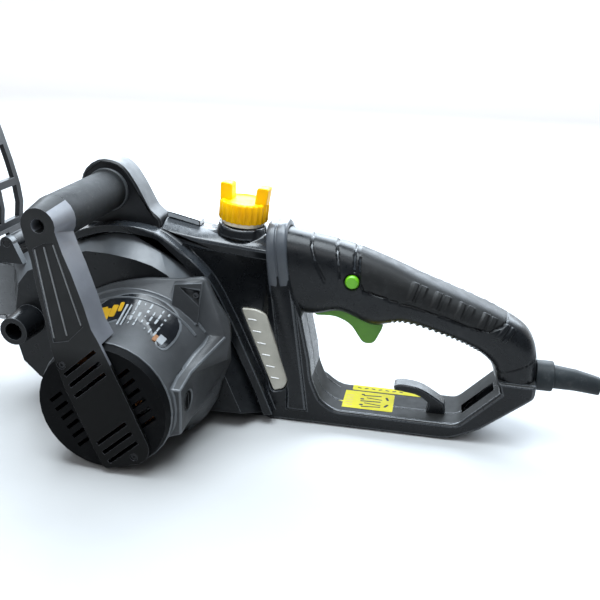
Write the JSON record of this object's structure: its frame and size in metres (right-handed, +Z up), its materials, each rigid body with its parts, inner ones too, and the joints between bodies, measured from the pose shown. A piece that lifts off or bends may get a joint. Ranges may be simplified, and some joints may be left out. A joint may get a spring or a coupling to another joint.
{
  "type": "corded electric chain saw",
  "caption": "Corded electric chain saw with a transverse motor, closed rear handle, tubular front handle, hand guard, guide bar with chain, and a screw-on oil cap.",
  "frame": {"origin": "on the flat underside of the body, straight below the motor shaft", "axes": "+X forward along the guide bar to its nose, +Y to the operator's left (motor side), +Z up"},
  "size_m": [1.0774, 0.266, 0.258],
  "materials": {
    "body_plastic": "fine-grained satin black moulding",
    "case_plastic": "satin charcoal moulding",
    "motor_plastic": "lightly textured gunmetal grey",
    "cap_black": "matte black",
    "arm_plastic": "satin dark grey",
    "tube_plastic": "satin dark grey tube",
    "grip_rubber": "soft matte overmould",
    "trigger_green": "satin green",
    "button_green": "bright green",
    "cap_yellow": "satin yellow-orange",
    "seal_cream": "pale rubber",
    "window_cream": "translucent cream",
    "tank_plastic": "natural polythene",
    "gloss_black": "glossy black",
    "steel": "machined",
    "bar_steel": "ground flat",
    "dark_steel": "black-oxide",
    "lamination": "stacked sheet steel",
    "copper": "enamelled copper wire",
    "carbon": "pressed carbon",
    "black_parts": "plain black",
    "cord_rubber": "smooth dark rubber"
  },
  "bodies": {
    "saw": {"housing_left": "body_plastic", "housing_right": "body_plastic", "gear_case": "case_plastic", "grip_cover": "grip_rubber", "oil_tank": "tank_plastic", "oil_level_window": "window_cream", "oil_pump": "black_parts", "deck_insert": "gloss_black", "front_handle_tube": "tube_plastic", "handle_arm_left": "arm_plastic", "handle_arm_right": "arm_plastic", "handle_screw_left": "dark_steel", "band_screw_upper": "dark_steel", "band_screw_lower": "dark_steel", "motor_casing": "motor_plastic", "motor_end_cap": "cap_black", "stator_core": "lamination", "field_coil_upper": "copper", "field_coil_lower": "copper", "bearing_left": "steel", "bearing_right": "steel", "brush_front": "carbon", "brush_rear": "carbon", "brush_cap_front": "cap_black", "brush_cap_rear": "cap_black", "output_bearing": "steel", "brake_band": "dark_steel", "saw_chain": "dark_steel", "bar_pad_plate": "steel", "bar_stud": "steel", "sprocket_cover": "body_plastic", "spiked_bumper": "steel", "guard_pivot_pin": "steel", "trigger_spring": "steel", "switch_module": "black_parts", "cord_hook": "body_plastic", "cord_gland": "cord_rubber", "cord": "cord_rubber", "plug": "cord_rubber"},
    "rotor": {"armature_core": "lamination", "armature_winding": "copper", "rotor_shaft": "steel", "commutator": "copper", "cooling_fan": "black_parts", "pinion": "steel"},
    "output": {"drive_gear": "steel", "output_shaft": "steel", "sprocket": "dark_steel", "brake_drum": "dark_steel"},
    "bar": {"guide_bar": "bar_steel"},
    "nose_wheel": {"nose_sprocket": "steel"},
    "tension_block": {"tension_pin": "steel"},
    "tensioner": {"tension_screw": "steel"},
    "cap_ring": {"oil_cap_seal": "seal_cream"},
    "cap": {"oil_cap": "cap_yellow"},
    "guard": {"hand_guard": "arm_plastic"},
    "trigger": {"trigger": "trigger_green"},
    "lock": {"lock_button": "button_green"},
    "knob": {"clamp_knob": "arm_plastic"}
  },
  "joints": [
    {"name": "rotor_spin", "type": "hinge", "parent": "saw", "child": "rotor", "pos_m": [0, 0.07, 0.054], "axis": [0, 1, 0], "continuous": true},
    {"name": "output_spin", "type": "hinge", "parent": "saw", "child": "output", "pos_m": [0.03, 0, 0.0739], "axis": [0, 1, 0], "continuous": true},
    {"name": "bar_slide", "type": "slide", "parent": "saw", "child": "bar", "axis": [1, 0, 0], "range_m": [-0.006, 0]},
    {"name": "nose_spin", "type": "hinge", "parent": "bar", "child": "nose_wheel", "pos_m": [0.508, -0.0335, 0.0739], "axis": [0, 1, 0], "continuous": true},
    {"name": "tension_pin_slide", "type": "slide", "parent": "saw", "child": "tension_block", "axis": [1, 0, 0], "range_m": [-0.0061, 0]},
    {"name": "tension_screw_turn", "type": "hinge", "parent": "saw", "child": "tensioner", "pos_m": [0.1, -0.02, 0.05], "axis": [1, 0, 0], "range_deg": [-2702, 0]},
    {"name": "cap_lift", "type": "slide", "parent": "saw", "child": "cap_ring", "axis": [-0.1045, 0, 0.9945], "range_m": [0, 0.012]},
    {"name": "cap_turn", "type": "hinge", "parent": "cap_ring", "child": "cap", "pos_m": [-0.074, 0, 0.162], "axis": [-0.1045, 0, 0.9945], "range_deg": [0, 1081]},
    {"name": "guard_tilt", "type": "hinge", "parent": "saw", "child": "guard", "pos_m": [0.116, 0.023, 0.147], "axis": [0, 1, 0], "range_deg": [0, 22]},
    {"name": "trigger_pull", "type": "hinge", "parent": "saw", "child": "trigger", "pos_m": [-0.146, 0, 0.113], "axis": [0, 1, 0], "range_deg": [0, 9], "stiffness_Nm_per_rad": 1.2, "springref_deg": -6.88, "deforming": ["trigger_spring"]},
    {"name": "lock_press", "type": "slide", "parent": "saw", "child": "lock", "axis": [0, -1, 0], "range_m": [0, 0.004], "stiffness_N_per_m": 300, "springref_m": -0.002},
    {"name": "knob_turn", "type": "hinge", "parent": "saw", "child": "knob", "pos_m": [0.084, -0.07, 0.0739], "axis": [0, -1, 0], "range_deg": [-1080, 0]}
  ],
  "couplings": [
    {"joint": "output_spin", "follows": "rotor_spin", "ratio": -0.33333},
    {"joint": "nose_spin", "follows": "rotor_spin", "ratio": -0.22222},
    {"joint": "tension_screw_turn", "follows": "bar_slide", "rad_per_m": 7854},
    {"joint": "tension_pin_slide", "follows": "bar_slide", "ratio": 1},
    {"joint": "cap_turn", "follows": "cap_lift", "rad_per_m": 1570.8}
  ]
}
